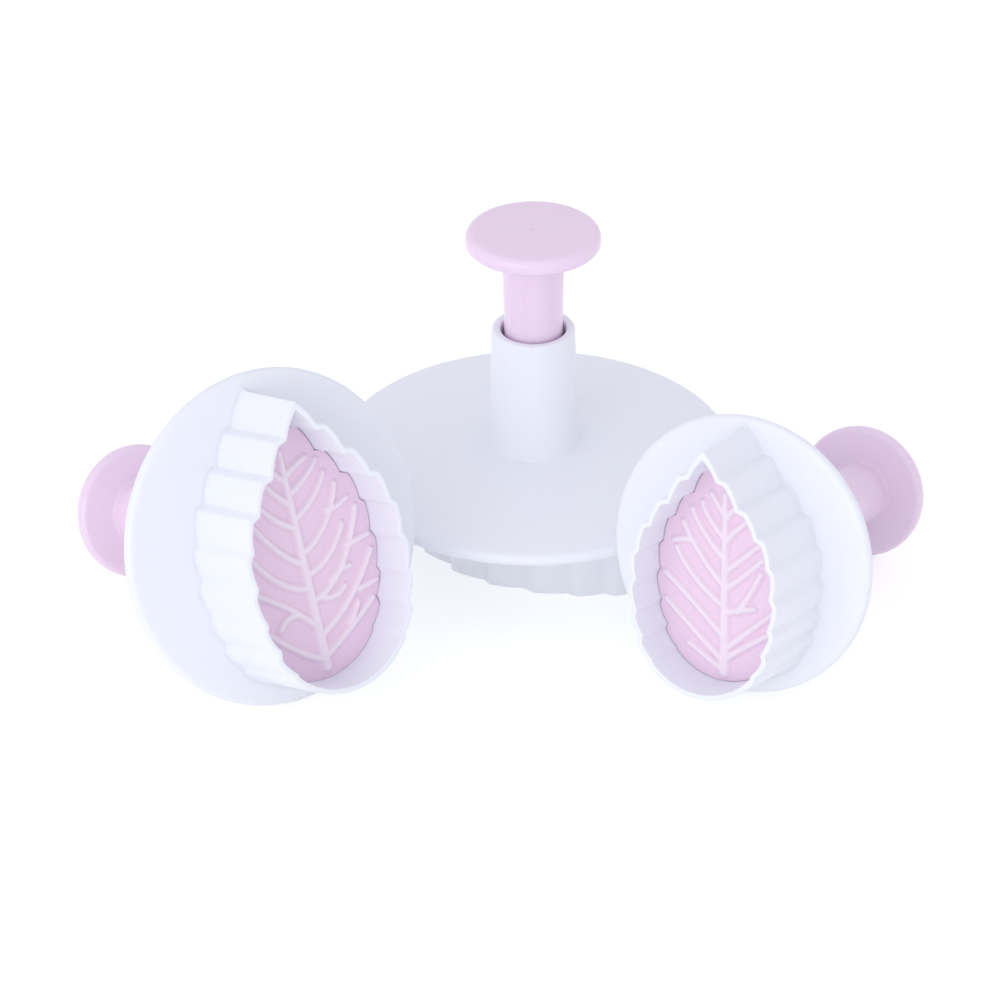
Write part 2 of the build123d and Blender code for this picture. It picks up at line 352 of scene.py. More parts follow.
@dataclass
class TurnedProfile:
    """Half of a turned piece's section.

    Each corner has its distance from the axis, its height and the radius it is rounded by.
    """

    corners: list[tuple[float, float, float]]
    closed: bool = False
    segments: int = 6

    def spin(self) -> bmesh.types.BMesh:
        """Turns the section about the cutter's axis.

        Returns:
            The turned piece as a closed mesh.
        """
        mesh = bmesh.new()
        points = [Vector((across, 0, height)) for across, height, _ in self.corners]
        verts = wire_loop(mesh, points, self.closed)
        for vert, (_, _, radius) in zip(verts, self.corners):
            if radius:
                round_off(mesh, [vert], radius, self.segments)
        bmesh.ops.spin(
            mesh,
            geom=mesh.verts[:] + mesh.edges[:],
            cent=(0, 0, 0),
            axis=(0, 0, 1),
            dvec=(0, 0, 0),
            angle=FULL_TURN,
            steps=SPIN_STEPS,
            use_merge=True,
            use_duplicate=False,
        )
        weld(mesh, SPIN_WELD)
        return mesh


def put_in_place(
    mesh: bmesh.types.BMesh,
    name: str,
    seat: Matrix,
    material: bpy.types.Material,
    crease: float = MOULDING_CREASE,
) -> bpy.types.Object:
    """Makes an object of a mesh in millimetres, placed in metres in the mesh itself.

    Args:
        mesh: The finished mesh, which is freed.
        name: The object's name.
        seat: The cutter's own frame in millimetres.
        material: The finish of the whole piece.
        crease: Edges that turn by more than this many degrees stay sharp.

    Returns:
        The new object, at the origin.
    """
    bmesh.ops.transform(mesh, matrix=Matrix.Scale(METRES, 4) @ seat, verts=mesh.verts[:])
    data = bpy.data.meshes.new(name)
    mesh.to_mesh(data)
    mesh.free()
    data.materials.append(material)
    data.shade_smooth()
    data.set_sharp_from_angle(angle=radians(crease))
    piece = bpy.data.objects.new(name, data)
    bpy.context.scene.collection.objects.link(piece)
    log.info("%s: %d vertices", name, len(data.vertices))
    return piece


@dataclass
class LeafOutline:
    """The toothed leaf line of one cutter, with its midrib along X and the tip at +X."""

    length: float
    width: float
    offset: tuple[float, float]
    notch_rounding: float = 0.16
    point_rounding: float = 0.26
    rounding_limit_share: float = 0.4
    side_bulge_share: float = 0.05
    side_segments: int = 5
    base_segments: int = 12
    rounding_segments: int = 4
    tooth_shares: tuple[tuple[tuple[float, float], tuple[float, float]], ...] = (
        ((0.793, 0.219), (0.778, 0.324)),
        ((0.579, 0.481), (0.561, 0.591)),
        ((0.373, 0.732), (0.350, 0.830)),
        ((0.143, 0.907), (0.105, 0.970)),
        ((-0.100, 0.953), (-0.165, 1.005)),
        ((-0.356, 0.938), (-0.407, 0.968)),
        ((-0.561, 0.857), (-0.622, 0.878)),
        ((-0.757, 0.722), (-0.793, 0.714)),
    )

    def corners(self, inset: float) -> list[Vector]:
        """The corners of the +Y half, tip to base, moved inwards.

        Args:
            inset: How far the line moves inwards.

        Returns:
            The corner points, at height zero.
        """
        along, across = self.length / 2, self.width / 2
        points = [Vector((along, 0))]
        shares = [share for tooth in self.tooth_shares for share in tooth]
        points += [Vector((x * along, y * across)) for x, y in shares]
        ring = [Vector((points[1].x, -points[1].y)), *points, Vector((-along, 0))]
        moved = []
        for last, here, following in zip(ring, ring[1:], ring[2:]):
            arriving, leaving = (here - last).normalized(), (following - here).normalized()
            first = Vector((-arriving.y, arriving.x))
            second = Vector((-leaving.y, leaving.x))
            moved.append(here + (first + second) / (1 + first.dot(second)) * inset)
        return moved

    def half_line(self, inset: float) -> tuple[list[Vector], list[float]]:
        """The +Y half from the tip to the base, with bulged sides and a round base.

        Args:
            inset: How far the line moves inwards.

        Returns:
            The points, and for each the radius that it is rounded by.
        """
        corners = self.corners(inset)
        points, rounding = [], []
        for start, end in zip(corners[0::2], corners[1::2]):
            chord = end - start
            bulge = Vector((chord.y, -chord.x)) * self.side_bulge_share
            for step in range(self.side_segments):
                share = step / self.side_segments
                points.append(start + chord * share + bulge * (4 * share * (1 - share)))
                rounding.append(0 if step else self.point_rounding)
            points.append(end)
            rounding.append(self.notch_rounding)
        last = corners[-1]
        points.append(last)
        rounding.append(self.point_rounding)
        base = -self.length / 2 + inset
        radius = ((last.x - base) ** 2 + last.y**2) / (2 * (last.x - base))
        opening = atan2(last.y, last.x - base - radius)
        for step in range(1, self.base_segments + 1):
            angle = opening + (pi - opening) * step / self.base_segments
            x = base + radius + radius * cos(angle)
            points.append(Vector((x, radius * sin(angle))))
            rounding.append(0)
        return points, rounding

    def line(self, inset: float, height: float) -> bmesh.types.BMesh:
        """Draws the whole line as a closed loop of edges with rounded teeth.

        Args:
            inset: How far the line moves inwards.
            height: The height of the loop.

        Returns:
            A mesh with the loop alone, whose vertices come in the same order for any inset.
        """
        points, rounding = self.half_line(inset)
        mirrored = [Vector((p.x, -p.y)) for p in points[-2:0:-1]]
        along, across = self.offset
        ring = [Vector((p.x + along, p.y + across, height)) for p in points + mirrored]
        rounding += rounding[-2:0:-1]
        mesh = bmesh.new()
        verts = wire_loop(mesh, ring, True)
        sides = [(a - b).length for a, b in zip(ring, ring[-1:] + ring[:-1])]
        rooms = [min(a, b) for a, b in zip(sides, sides[1:] + sides[:1])]
        for vert, radius, room in zip(verts, rounding, rooms):
            if radius:
                radius = min(radius, room * self.rounding_limit_share)
                round_off(mesh, [vert], radius, self.rounding_segments)
        mesh.verts.index_update()
        return mesh

    def loft(self, levels: list[tuple[float, Callable[[Vector], float]]]) -> bmesh.types.BMesh:
        """Extrudes the line through several levels, of which the last is the first again.

        Args:
            levels: For each level the inset and a function that gives a point's height.

        Returns:
            The closed wall.
        """
        mesh = self.line(levels[0][0], 0)
        current, edges = list(mesh.verts), list(mesh.edges)
        for vert in current:
            vert.co.z = levels[0][1](vert.co)
        for inset, height in levels[1:]:
            grown = bmesh.ops.extrude_edge_only(mesh, edges=edges)["geom"]
            new = {tuple(v.co): v for v in grown if isinstance(v, bmesh.types.BMVert)}
            lifted = [new[tuple(v.co)] for v in current]
            target = self.line(inset, 0)
            for vert, goal in zip(lifted, target.verts):
                vert.co = (goal.co.x, goal.co.y, height(goal.co))
            target.free()
            raised = set(lifted)
            edges = [
                e
                for e in grown
                if isinstance(e, bmesh.types.BMEdge) and raised.issuperset(e.verts)
            ]
            current = lifted
        weld(mesh, WALL_WELD)
        return mesh


@dataclass
class Veins:
    """The raised veins on a pad's face, as shares of half the leaf's length and width.

    A side vein has where it leaves the midrib, then its middle and its end. A fork has its
    side of the leaf, then its start, middle and end.
    """

    height: float = 0.7
    midrib_width: float = 3.0
    midrib_tip_width: float = 1.7
    side_width: float = 1.9
    tip_width: float = 1.5
    crest_share: float = 0.3
    midrib_points: int = 12
    side_points: int = 10
    midrib_share: tuple[float, float] = (-0.88, 0.62)
    right_shares: tuple = (
        (-0.82, (-0.68, 0.42), (-0.55, 0.74)),
        (-0.67, (-0.50, 0.45), (-0.23, 0.84)),
        (-0.42, (-0.28, 0.42), (0.09, 0.77)),
        (-0.24, (-0.17, 0.30), (0.01, 0.56)),
        (-0.09, (0.04, 0.34), (0.29, 0.58)),
        (0.15, (0.25, 0.28), (0.39, 0.47)),
        (0.32, (0.40, 0.24), (0.49, 0.41)),
        (0.45, (0.50, 0.16), (0.53, 0.29)),
    )
    left_shares: tuple = (
        (-0.83, (-0.68, 0.36), (-0.40, 0.79)),
        (-0.61, (-0.40, 0.32), (-0.18, 0.81)),
        (-0.33, (-0.20, 0.38), (0.10, 0.71)),
        (-0.16, (0.02, 0.32), (0.33, 0.62)),
        (0.09, (0.23, 0.28), (0.43, 0.48)),
        (0.25, (0.38, 0.19), (0.53, 0.34)),
        (0.42, (0.50, 0.13), (0.58, 0.22)),
    )
    fork_shares: tuple = (
        (1, (0.13, 0.42), (0.14, 0.55), (0.17, 0.68)),
        (1, (-0.14, 0.57), (-0.13, 0.71), (-0.12, 0.85)),
        (1, (-0.42, 0.12), (-0.44, 0.29), (-0.40, 0.43)),
        (1, (-0.34, 0.28), (-0.29, 0.41), (-0.28, 0.54)),
        (1, (-0.46, 0.59), (-0.45, 0.71), (-0.44, 0.83)),
        (1, (-0.66, 0.40), (-0.60, 0.48), (-0.54, 0.55)),
        (-1, (-0.48, 0.20), (-0.47, 0.33), (-0.53, 0.46)),
    )

    def paths(self, outline: LeafOutline) -> list[tuple[np.ndarray, np.ndarray]]:
        """Every vein as points with a half width at each.

        Args:
            outline: The leaf that the veins are drawn on.

        Returns:
            Pairs of points and half widths.
        """
        along, across = outline.length / 2, outline.width / 2
        made = []
        low, high = self.midrib_share
        share = np.linspace(0, 1, self.midrib_points)
        rib = np.stack([(low + (high - low) * share) * along, share * 0], 1)
        taper = self.midrib_tip_width - self.midrib_width
        made.append((rib, (self.midrib_width + taper * share) / 2))
        triples = [
            ((root, 0), (middle[0], side * middle[1]), (end[0], side * end[1]))
            for side, table in ((1, self.right_shares), (-1, self.left_shares))
            for root, middle, end in table
        ]
        triples += [tuple((x, s * y) for x, y in points) for s, *points in self.fork_shares]
        for triple in triples:
            a, b, c = (np.array((x * along, y * across)) for x, y in triple)
            bend = 2 * b - (a + c) / 2
            t = np.linspace(0, 1, self.side_points)[:, None]
            line = a * (1 - t) ** 2 + bend * 2 * t * (1 - t) + c * t**2
            width = self.side_width + (self.tip_width - self.side_width) * t[:, 0]
            made.append((line, width / 2))
        return made

    def relief(self, places: np.ndarray, outline: LeafOutline) -> np.ndarray:
        """How far the veins stand out at each place of the pad.

        Args:
            places: Points of the pad, without the leaf's shift.
            outline: The leaf that the veins are drawn on.

        Returns:
            A height for each point.
        """
        total = np.zeros(len(places))
        for line, half in self.paths(outline):
            best = np.zeros(len(places))
            for a, b, wa, wb in zip(line, line[1:], half, half[1:]):
                run = b - a
                t = np.clip(((places - a) @ run) / (run @ run), 0, 1)
                away = np.linalg.norm(places - a - t[:, None] * run, axis=1)
                slope = (1 - away / (wa + (wb - wa) * t)) / (1 - self.crest_share)
                best = np.maximum(best, np.clip(slope, 0, 1))
            total = np.maximum(total, best * best * (3 - 2 * best))
        return total * self.height


def small_veins() -> Veins:
    """The smallest pad's veins, which are fewer and steeper."""
    return Veins(
        midrib_share=(-0.88, 0.56),
        right_shares=(
            (-0.78, (-0.64, 0.31), (-0.50, 0.66)),
            (-0.70, (-0.53, 0.31), (-0.33, 0.68)),
            (-0.39, (-0.36, 0.20), (-0.33, 0.40)),
            (-0.20, (-0.10, 0.21), (0.08, 0.52)),
            (-0.06, (0.05, 0.21), (0.21, 0.50)),
            (0.17, (0.28, 0.14), (0.40, 0.36)),
            (0.36, (0.43, 0.09), (0.50, 0.20)),
        ),
        left_shares=(
            (-0.87, (-0.78, 0.23), (-0.68, 0.48)),
            (-0.80, (-0.53, 0.48), (-0.35, 0.79)),
            (-0.60, (-0.32, 0.46), (-0.13, 0.81)),
            (-0.35, (-0.14, 0.40), (0.09, 0.65)),
            (-0.18, (0.04, 0.31), (0.30, 0.56)),
            (0.04, (0.24, 0.28), (0.42, 0.44)),
            (0.20, (0.36, 0.21), (0.48, 0.30)),
            (0.40, (0.48, 0.10), (0.56, 0.18)),
        ),
        fork_shares=(
            (1, (-0.37, 0.18), (-0.22, 0.34), (-0.04, 0.49)),
            (-1, (0.16, 0.43), (0.16, 0.56), (0.14, 0.69)),
        ),
    )


@dataclass
class CutterBody:
    """The white moulding: toothed blade, domed flange and barrel."""

    outline: LeafOutline
    flange_diameter: float
    barrel_length: float
    flange_height: float = 16.8
    flange_thickness: float = 2.2
    flange_rise: float = 2.2
    flange_bulge: float = 0.3
    hollow_rise: float = 0.4
    barrel_top_diameter: float = 15.2
    barrel_foot_diameter: float = 16.7
    barrel_bore_diameter: float = 11.9
    barrel_lip_radius: float = 0.5
    barrel_foot_fillet: float = 1.0
    peg_hole_diameter: float = 5.8
    edge_thickness: float = 0.9
    edge_rounding: float = 0.16
    draft: float = 0.4
    edge_segments: int = 2
    hole_rounding: float = 0.15
    recess_rounding: float = 0.3
    foot_fillet_share: float = 0.55
    rim_rounding_share: float = 0.98
    flange_steps: int = 8
    root_overlap: float = 0.8
    root_draft_share: float = 0.95
    root_fillet: float = 0.6
    root_fillet_shares: tuple = ((0.1, 0.55), (0.35, 0.22), (1.1, -0.25))

    def crown_top(self) -> float:
        """Height of the flange's top where the barrel stands on it."""
        return self.flange_height + self.flange_thickness / 2 + self.flange_rise

    def flange_share(self, radius: float) -> float:
        """How far out on the flange a place is.

        Args:
            radius: The place's distance from the axis.

        Returns:
            A share from 0 at the barrel to 1 at the rim.
        """
        foot = self.barrel_foot_diameter / 2
        rim = self.flange_diameter / 2 - self.flange_thickness / 2
        return min(max((radius - foot) / (rim - foot), 0), 1)

    def topside(self, radius: float) -> float:
        """The flange's domed top.

        Args:
            radius: A distance from the axis.

        Returns:
            The top's height there.
        """
        share = self.flange_share(radius)
        bulge = self.flange_bulge * 4 * share * (1 - share)
        return self.crown_top() - self.flange_rise * share + bulge

    def underside(self, radius: float) -> float:
        """Height of the flange's nearly flat underside at a distance from the axis."""
        share = self.flange_share(radius)
        return self.flange_height - self.flange_thickness / 2 + self.hollow_rise * (1 - share)

    def flange_and_barrel(self) -> bmesh.types.BMesh:
        """Turns the flange and the barrel.

        Returns:
            The closed turned part of the moulding.
        """
        rim, edge = self.flange_thickness / 2, self.flange_diameter / 2
        foot, bore = self.barrel_foot_diameter / 2, self.barrel_bore_diameter / 2
        crown, floor = self.crown_top(), self.crown_top() - self.flange_thickness
        top, hole = crown + self.barrel_length, self.peg_hole_diameter / 2
        steps = self.flange_steps
        dome = [foot + (edge - rim - foot) * step / steps for step in range(1, steps)]
        small, recess = self.hole_rounding, self.recess_rounding
        lip, round_rim = self.barrel_lip_radius, rim * self.rim_rounding_share
        corners = [(hole, floor, small), (hole, crown, small), (bore, crown, recess)]
        corners += [(bore, top, lip), (self.barrel_top_diameter / 2, top, lip)]
        corners += [(foot, crown, self.barrel_foot_fillet * self.foot_fillet_share)]
        corners += [(r, self.topside(r), 0) for r in dome]
        corners += [(edge, self.flange_height + rim, round_rim)]
        corners += [(edge, self.flange_height - rim, round_rim)]
        corners += [(r, self.underside(r), 0) for r in reversed(dome)]
        corners += [(foot, self.underside(foot), recess), (foot, floor, recess)]
        return TurnedProfile(corners, closed=True).spin()

    def below(self, drop: float) -> Callable[[Vector], float]:
        """A function that gives heights a drop below the flange's underside."""
        return lambda point: self.underside(hypot(point.x, point.y)) - drop

    def blade(self) -> bmesh.types.BMesh:
        """Draws the leaf-shaped wall, from its cutting edge up into the flange.

        Returns:
            The closed wall.
        """
        root = self.flange_height + self.flange_thickness / 2 - self.root_overlap / 2
        fillet, wall = self.root_fillet, self.edge_thickness
        levels = [
            (wall, lambda point: root),
            (wall, lambda point: 0),
            (0, lambda point: 0),
            (-self.draft * self.root_draft_share, self.below(fillet)),
        ]
        for out, down in self.root_fillet_shares:
            levels.append((-self.draft - out * fillet, self.below(fillet * down)))
        mesh = self.outline.loft([*levels, levels[0]])
        lines = [e for e in mesh.edges if all(v.co.z == 0 for v in e.verts)]
        lines = [e for e in lines if any(abs(f.normal.z) < 0.5 for f in e.link_faces)]
        round_off(mesh, lines, self.edge_rounding, self.edge_segments, kind="EDGES")
        return mesh

    def build(self, name: str, seat: Matrix, material: bpy.types.Material) -> bpy.types.Object:
        """Builds and dresses the moulding.

        Args:
            name: The object's name.
            seat: The cutter's own frame.
            material: Its plastic.

        Returns:
            The object.
        """
        whole = self.blade()
        join(whole, self.flange_and_barrel())
        return put_in_place(whole, name, seat, material)


@dataclass
class Plunger:
    """The pink moulding that is pressed: a knob on a tapered stem."""

    knob_bottom: float
    stem_bottom: float
    knob_diameter: float = 24.5
    knob_thickness: float = 2.9
    knob_edge_radius: float = 0.9
    knob_top_radius: float = 1.35
    knob_crown: float = 0.4
    knob_steps: int = 8
    gate_mark_diameter: float = 1.3
    gate_mark_floor_diameter: float = 1.04
    gate_mark_depth: float = 0.2
    gate_floor_rounding: float = 0.05
    gate_edge_rounding: float = 0.08
    stem_top_diameter: float = 11.3
    stem_foot_diameter: float = 10.3
    stem_fillet: float = 0.8
    socket_diameter: float = 5.64
    socket_depth: float = 9.5
    stem_end_rounding: float = 0.2
    socket_rounding: float = 0.15

    def build(self, name: str, seat: Matrix, material: bpy.types.Material) -> bpy.types.Object:
        """Builds and dresses the plunger.

        Args:
            name: The object's name.
            seat: The cutter's own frame.
            material: Its plastic.

        Returns:
            The object.
        """
        knob, gate = self.knob_diameter / 2, self.gate_mark_diameter / 2
        low, top = self.knob_bottom, self.knob_bottom + self.knob_thickness
        crown, pit = top + self.knob_crown, top + self.knob_crown - self.gate_mark_depth
        end, socket = self.stem_bottom, self.socket_diameter / 2
        roof = end + self.socket_depth
        corners = [(0, pit, 0)]
        corners += [(self.gate_mark_floor_diameter / 2, pit, self.gate_floor_rounding)]
        corners += [(gate, crown, self.gate_edge_rounding)]
        for step in range(1, self.knob_steps):
            share = step / self.knob_steps
            height = crown - self.knob_crown * share**2
            corners.append((gate + (knob - gate) * share, height, 0))
        corners += [(knob, top, self.knob_top_radius), (knob, low, self.knob_edge_radius)]
        corners += [(self.stem_top_diameter / 2, low, self.stem_fillet)]
        corners += [(self.stem_foot_diameter / 2, end, self.stem_end_rounding)]
        corners += [(socket, end, self.socket_rounding), (socket, roof, 0), (0, roof, 0)]
        mesh = TurnedProfile(corners).spin()
        return put_in_place(mesh, name, seat, material)


@dataclass
class LeafPad:
    """The pink leaf that slides in the blade, with veins on its face and a peg behind."""

    outline: LeafOutline
    stem_bottom: float
    boss_top: float
    veins: Veins
    setback: float = 8.9
    inset: float = 1.0
    plate: float = 1.6
    wall: float = 1.2
    depth: float = 5.4
    rib_thickness: float = 1.2
    rib_depth: float = 3.0
    boss_diameter: float = 10.0
    peg_diameter: float = 5.6
    peg_in_stem: float = 9.0
    peg_chamfer: float = 0.6
    boss_rounding: float = 0.25
    turned_segments: int = 3
    skirt_overlap: float = 0.4
    boss_overlap: float = 0.3
    rib_end_gap: float = 1.0
    rib_width_share: float = 0.94
    mesh_step: float = 0.24
    block_margin: float = 2.0
    knife_reach: float = 2.0
    knife_gap: float = 0.01

    def prism(self, inset: float, low: float, high: float) -> bmesh.types.BMesh:
        """A straight prism of the leaf outline.

        Args:
            inset: How far its line is moved inwards.
            low: Height of its lower face.
            high: Height of its upper face.

        Returns:
            The closed prism.
        """
        mesh = self.outline.line(inset, low)
        face = bmesh.ops.contextual_create(mesh, geom=mesh.edges[:])["faces"]
        grown = bmesh.ops.extrude_face_region(mesh, geom=face)["geom"]
        lifted = [v for v in grown if isinstance(v, bmesh.types.BMVert)]
        bmesh.ops.translate(mesh, vec=(0, 0, high - low), verts=lifted)
        bmesh.ops.recalc_face_normals(mesh, faces=mesh.faces[:])
        return mesh

    def relief_block(self) -> bmesh.types.BMesh:
        """Makes the block of which the pad's face is cut.

        Returns:
            A rectangular block whose lower face carries the veins.
        """
        long = self.outline.length + self.block_margin
        wide = self.outline.width + self.block_margin
        mesh = bmesh.new()
        bmesh.ops.create_grid(
            mesh,
            x_segments=round(long / self.mesh_step),
            y_segments=round(wide / self.mesh_step),
            size=0.5,
            matrix=Matrix.Translation((*self.outline.offset, self.setback + self.plate))
            @ Matrix.Diagonal((long, wide, 1, 1)),
        )
        grown = bmesh.ops.extrude_face_region(mesh, geom=mesh.faces[:])["geom"]
        face = [v for v in grown if isinstance(v, bmesh.types.BMVert)]
        places = np.array([v.co.xy for v in face]) - np.array(self.outline.offset)
        heights = self.veins.relief(places, self.outline)
        for vert, height in zip(face, heights):
            vert.co.z = self.setback - height
        bmesh.ops.recalc_face_normals(mesh, faces=mesh.faces[:])
        return mesh

    def back(self) -> bmesh.types.BMesh:
        """Makes what stands behind the pad's plate.

        Returns:
            The skirt, the cross ribs, the boss and the peg.
        """
        plate_top, inner = self.setback + self.plate, self.inset + self.wall
        low, high = plate_top - self.skirt_overlap, self.setback + self.depth
        bottom = (inner, lambda point: low)
        mesh = self.outline.loft(
            [
                bottom,
                (inner, lambda point: high),
                (self.inset, lambda point: high),
                (self.inset, lambda point: low),
                bottom,
            ]
        )
        tall = self.rib_depth + self.skirt_overlap
        centre = Matrix.Translation((*self.outline.offset, low + tall / 2))
        long = self.outline.length - 2 * inner - self.rib_end_gap
        wide = self.outline.width * self.rib_width_share - 2 * (self.inset + self.wall / 2)
        for size in ((long, self.rib_thickness), (self.rib_thickness, wide)):
            shape = centre @ Matrix.Diagonal((*size, tall, 1))
            bmesh.ops.create_cube(mesh, size=1, matrix=shape)
        boss, peg = self.boss_diameter / 2, self.peg_diameter / 2
        foot, tip = plate_top - self.boss_overlap, self.stem_bottom + self.peg_in_stem
        corners = [(0, foot, 0), (boss, foot, 0), (boss, self.boss_top, self.boss_rounding)]
        corners += [(peg, self.boss_top, 0), (peg, tip, self.peg_chamfer), (0, tip, 0)]
        join(mesh, TurnedProfile(corners, segments=self.turned_segments).spin())
        return mesh

    def build(self, name: str, seat: Matrix, material: bpy.types.Material) -> bpy.types.Object:
        """Builds and dresses the pad.

        Args:
            name: The object's name.
            seat: The cutter's own frame.
            material: Its plastic.

        Returns:
            The object.
        """
        high = self.setback + self.plate - self.knife_gap
        leaf = self.prism(self.inset, self.setback - self.knife_reach, high)
        block = put_in_place(self.relief_block(), name + "_block", Matrix(), material)
        knife = put_in_place(leaf, name + "_knife", Matrix(), material)
        cut = block.modifiers.new("cut", "BOOLEAN")
        cut.operation, cut.object, cut.solver = "INTERSECT", knife, "EXACT"
        graph = bpy.context.evaluated_depsgraph_get()
        plate = bpy.data.meshes.new_from_object(block.evaluated_get(graph))
        whole = bmesh.new()
        whole.from_mesh(plate)
        bmesh.ops.scale(whole, vec=(1 / METRES,) * 3, verts=whole.verts[:])
        # Each point's share of the vein height, with which the pad's material paints a
        # highlight on the vein crests.
        mark = whole.verts.layers.float.new(VEIN_MARK)
        for vert in whole.verts:
            vert[mark] = min(max((self.setback - vert.co.z) / self.veins.height, 0), 1)
        for spare in (block, knife):
            data = spare.data
            bpy.data.objects.remove(spare)
            bpy.data.meshes.remove(data)
        bpy.data.meshes.remove(plate)
        join(whole, self.back())
        return put_in_place(whole, name, seat, material, crease=PAD_CREASE)


@dataclass
class Cutter:
    """One cutter of the set, with its own sizes and its place."""

    name: str
    flange_diameter: float
    leaf_length: float
    leaf_width: float
    leaf_offset: tuple[float, float]
    barrel_length: float
    veins: Veins = field(default_factory=Veins)
    pad_shift: tuple[float, float] = (0.0, 0.0)
    heading: float = 0.0
    stem_showing: float = 16.9
    spring_space: float = 13.2
    travel: float = 8.1
    boss_gap: float = 0.3

    def outline(self) -> LeafOutline:
        """The cutter's leaf line."""
        return LeafOutline(self.leaf_length, self.leaf_width, self.leaf_offset)

    def pad_outline(self) -> LeafOutline:
        """The same line for the pad, which lies a hair to one side in the blade."""
        along, across = (a + b for a, b in zip(self.leaf_offset, self.pad_shift))
        return LeafOutline(self.leaf_length, self.leaf_width, (along, across))

    def body(self) -> CutterBody:
        """The cutter's white moulding."""
        return CutterBody(self.outline(), self.flange_diameter, self.barrel_length)

    def seat(self) -> Matrix:
        """The frame of a cutter that stands on its edge, leaf tip along its heading."""
        return Matrix.Rotation(radians(self.heading), 4, "Z")

    def dress(
        self, white: bpy.types.Material, pink: bpy.types.Material, highlit_pad_pink: bpy.types.Material
    ) -> list[bpy.types.Object]:
        """Builds the three mouldings and puts them on their bodies.

        Args:
            white: The plastic of the body.
            pink: The plastic of the plunger.
            highlit_pad_pink: The same plastic with a painted highlight, a paler colour on the
                crests of the pad's veins.

        Returns:
            The new pieces.
        """
        seat, body = self.seat(), self.body()
        barrel_top = body.crown_top() + self.barrel_length
        stem_bottom = body.crown_top() + self.spring_space
        boss_top = body.crown_top() - body.flange_thickness - self.boss_gap
        plunger = Plunger(barrel_top + self.stem_showing, stem_bottom)
        pad = LeafPad(self.pad_outline(), stem_bottom, boss_top, self.veins)
        made = []
        for part, kind, finish, slot, rider in (
            (body, "cutter_body", white, Slot.WHITE, ROOT_BODY),
            (plunger, "plunger", pink, Slot.PINK, self.name + "_plunger_and_pad"),
            (pad, "leaf_pad", highlit_pad_pink, Slot.PINK, self.name + "_plunger_and_pad"),
        ):
            piece = part.build(f"{self.name}_{kind}_moulding", seat, finish)
            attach(piece, rider)
            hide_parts(f"{self.name}_{kind}")
            made.append(piece)
        return made

    def wind_spring(
        self, node: bpy.types.Object, steel: bpy.types.Material
    ) -> bpy.types.Object:
        """Makes the return spring, which the stem presses down on the barrel's floor.

        Args:
            node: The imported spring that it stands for.
            steel: The wire's finish.

        Returns:
            The new piece.
        """
        wire = bmesh.new()
        wire.from_mesh(node.data)
        bmesh.ops.remove_doubles(wire, verts=wire.verts, dist=WIRE_WELD * METRES)
        name = f"{self.name}_return_spring"
        data = bpy.data.meshes.new(name + "_wire")
        wire.to_mesh(data)
        wire.free()
        data.shade_smooth()
        data.materials.append(steel)
        piece = bpy.data.objects.new(name + "_wire", data)
        bpy.context.scene.collection.objects.link(piece)
        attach(piece, ROOT_BODY)
        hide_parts(name)
        seat = self.seat()
        METRES * (seat @ Vector((0, 0, self.body().crown_top())))
        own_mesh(piece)
        return piece


@dataclass
class LyingCutter(Cutter):
    """A cutter that lies on two rims, its blade facing along its heading and a little up.

    Its place is the point of the table under the middle of its flange.
    """

    place: tuple[float, float] = (0.0, 0.0)
    leaf_turn: float = 0.0

    def seat(self) -> Matrix:
        """Lays the cutter down on the rims of its flange and its knob.

        Returns:
            The cutter's own frame in millimetres.
        """
        body, knob = self.body(), Plunger(0, 0)
        rim, knob_rim = body.flange_thickness / 2, knob.knob_edge_radius
        top = body.crown_top() + self.barrel_length + self.stem_showing
        reach = top + knob.knob_thickness - knob_rim - body.flange_height
        drop = self.flange_diameter / 2 - rim - knob.knob_diameter / 2 + knob_rim
        lean = acos((knob_rim - rim) / hypot(drop, reach)) - atan2(reach, drop)
        compass, turn = radians(self.heading), radians(self.leaf_turn)
        forward = Vector((cos(lean) * cos(compass), cos(lean) * sin(compass), sin(lean)))
        height = (self.flange_diameter / 2 - rim) * cos(lean) + rim
        upward = (Vector((0, 0, 1)) - forward * forward.z).normalized()
        across = upward.cross(forward)
        origin = Vector((*self.place, height)) + forward * body.flange_height
        tip = upward * cos(turn) - across * sin(turn)
        up = -forward
        side = up.cross(tip)
        frame = Matrix((tip, side, up)).transposed().to_4x4()
        return Matrix.Translation(origin) @ frame


@dataclass(frozen=True)
class SoftLight:
    """A square soft light: its name, place and side in metres, and power in watts."""

    name: str
    place: tuple[float, float, float]
    size: float
    power: float

    def build(self, target: tuple[float, float, float]) -> bpy.types.Object:
        """Hangs the light.

        Args:
            target: The place that it looks at.

        Returns:
            The light.
        """
        data = bpy.data.lights.new(self.name, "AREA")
        data.size, data.energy = self.size, self.power
        light = bpy.data.objects.new(self.name, data)
        light.location = self.place
        aim = Vector(target) - Vector(self.place)
        light.rotation_euler = aim.to_track_quat("-Z", "Y").to_euler()
        bpy.context.scene.collection.objects.link(light)
        return light


